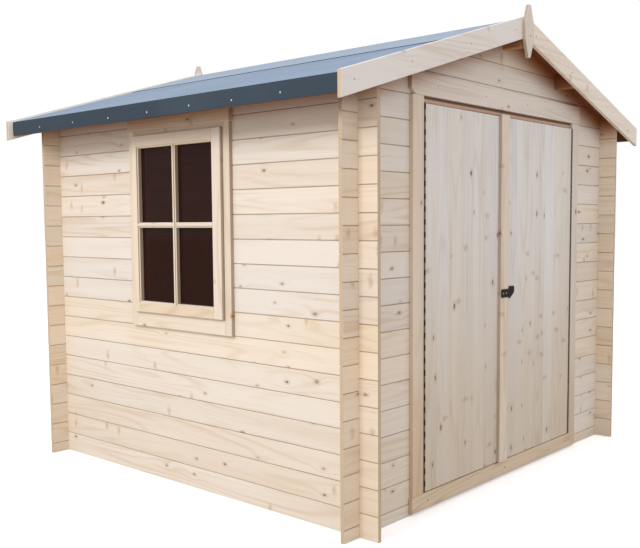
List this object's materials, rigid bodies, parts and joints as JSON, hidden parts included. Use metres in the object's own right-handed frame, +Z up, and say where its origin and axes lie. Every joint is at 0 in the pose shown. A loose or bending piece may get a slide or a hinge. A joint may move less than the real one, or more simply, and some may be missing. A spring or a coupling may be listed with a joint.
{
  "type": "log cabin shed",
  "caption": "Small storage cabin of interlocking machined logs with a felted apex roof, double front doors and one side window; the doors open outward.",
  "frame": {"origin": "ground level under the middle of the cabin", "axes": "+X to the right along the front as seen from outside, +Y from the front to the rear, +Z up"},
  "size_m": [2.786, 2.5272, 2.3828],
  "materials": {
    "logs": "satin, pale stained softwood",
    "trim": "satin, pale stained softwood",
    "door_boards": "satin, pale stained softwood",
    "bare_boards": "planed, bare softwood",
    "batten": "rough, shaded softwood",
    "felt": "fine mineral grit",
    "hinge_metal": "dark, semi-matt",
    "hasp_metal": "black, semi-matt",
    "glass": "clear"
  },
  "bodies": {
    "cabin": {"floor_bearers": "bare_boards", "floor_boards": "bare_boards", "front_base_log": "logs", "front_wall_left": "logs", "front_wall_right": "logs", "front_gable": "logs", "rear_wall": "logs", "rear_gable": "logs", "left_wall": "logs", "right_wall": "logs", "ridge_beam": "bare_boards", "purlins": "bare_boards", "roof_boards_left": "bare_boards", "roof_boards_right": "bare_boards", "eaves_batten_left": "batten", "eaves_batten_right": "batten", "felt_left": "felt", "felt_right": "felt", "felt_ridge": "felt", "barge_front_left": "trim", "barge_front_right": "trim", "barge_rear_left": "trim", "barge_rear_right": "trim", "finial_front": "trim", "finial_rear": "trim", "door_sill": "trim", "door_jamb_left": "trim", "door_jamb_right": "trim", "door_head": "trim", "header_board": "trim", "hinge_jamb_left": "hinge_metal", "hinge_jamb_right": "hinge_metal", "window_frame": "trim", "window_sash": "trim", "window_glass": "glass", "window_head_board": "trim"},
    "leaf_left": {"door_left": "door_boards", "door_ledges_left": "bare_boards", "cover_strip": "trim", "hinge_door_left": "hinge_metal", "hasp_plate": "hasp_metal"},
    "leaf_right": {"door_right": "door_boards", "door_ledges_right": "bare_boards", "hinge_door_right": "hinge_metal", "hasp_staple": "hasp_metal"}
  },
  "joints": [
    {"name": "door_left_hinge", "type": "hinge", "parent": "cabin", "child": "leaf_left", "pos_m": [-0.717, -1.1465, 0.9], "axis": [0, 0, -1], "range_deg": [0, 165]},
    {"name": "door_right_hinge", "type": "hinge", "parent": "cabin", "child": "leaf_right", "pos_m": [0.717, -1.1465, 0.9], "axis": [0, 0, 1], "range_deg": [0, 165]}
  ]
}
